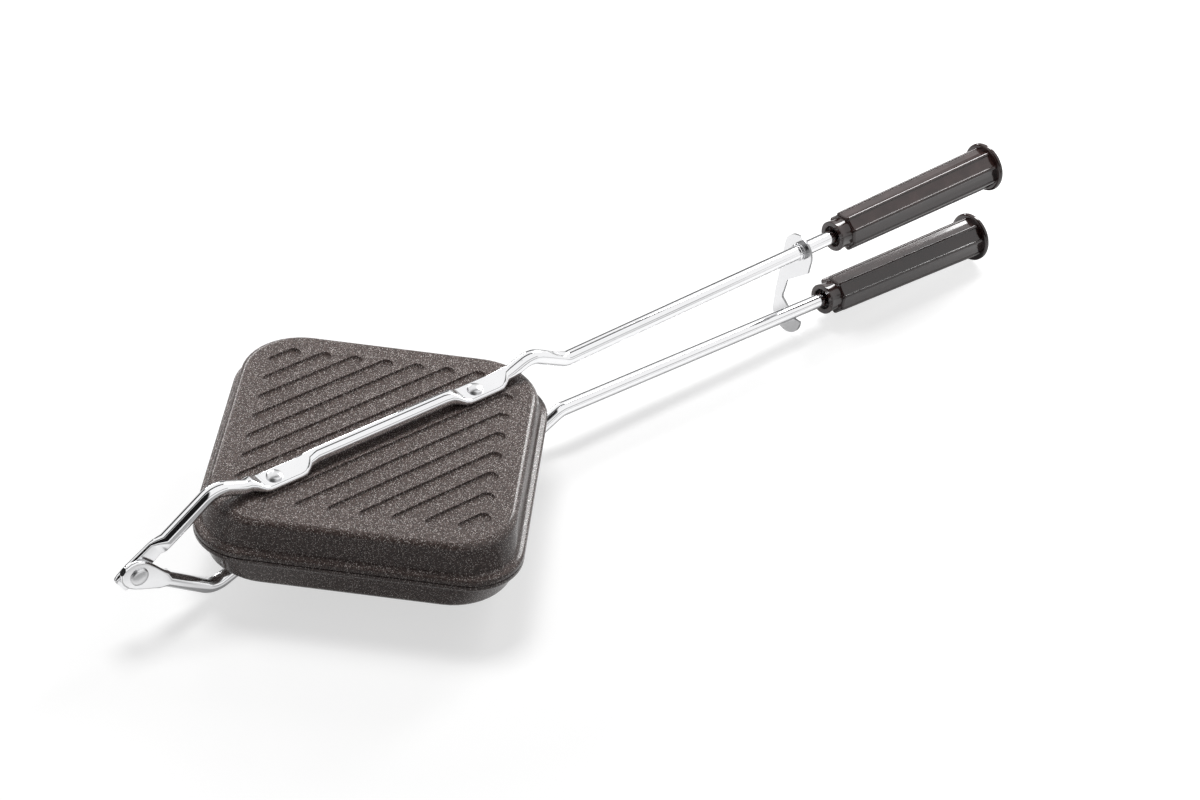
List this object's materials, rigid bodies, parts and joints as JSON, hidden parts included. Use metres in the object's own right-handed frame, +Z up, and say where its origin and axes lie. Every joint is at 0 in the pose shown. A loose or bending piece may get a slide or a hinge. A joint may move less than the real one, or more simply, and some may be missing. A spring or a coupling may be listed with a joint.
{
  "type": "pie iron",
  "caption": "Hinged toasting iron: ribbed square plates riveted to bent tube arms with a front hinge, a swinging latch hook and moulded grips.",
  "frame": {"origin": "middle of the closed iron's box, at its lowest level", "axes": "+X from the hinge towards the grips, +Y across the plates, +Z up, square to the parting plane"},
  "size_m": [0.5218, 0.1838, 0.0687],
  "materials": {
    "coated_aluminium": "speckled non-stick coating, satin",
    "chromed_tube": "bright chromium plate",
    "rivet_steel": "plain steel, lightly burnished",
    "latch_steel": "bright pressed sheet",
    "bakelite": "glossy dark brown moulding"
  },
  "bodies": {
    "lower": {"lower_plate": "coated_aluminium", "lower_arm": "chromed_tube", "lower_front_rivet": "rivet_steel", "lower_rear_rivet": "rivet_steel", "lower_grip": "bakelite", "hinge_rivet": "rivet_steel"},
    "upper": {"upper_plate": "coated_aluminium", "upper_arm": "chromed_tube", "upper_front_rivet": "rivet_steel", "upper_rear_rivet": "rivet_steel", "upper_grip": "bakelite"},
    "latch": {"latch": "latch_steel"}
  },
  "joints": [
    {"name": "main_hinge", "type": "hinge", "parent": "lower", "child": "upper", "pos_m": [-0.25138, 0, 0.03436], "axis": [0, -1, 0], "range_deg": [0, 180]},
    {"name": "latch_swing", "type": "hinge", "parent": "upper", "child": "latch", "pos_m": [0.13265, 0, 0.05302], "axis": [0.9997, 0, 0.0244], "range_deg": [0, 180]}
  ]
}
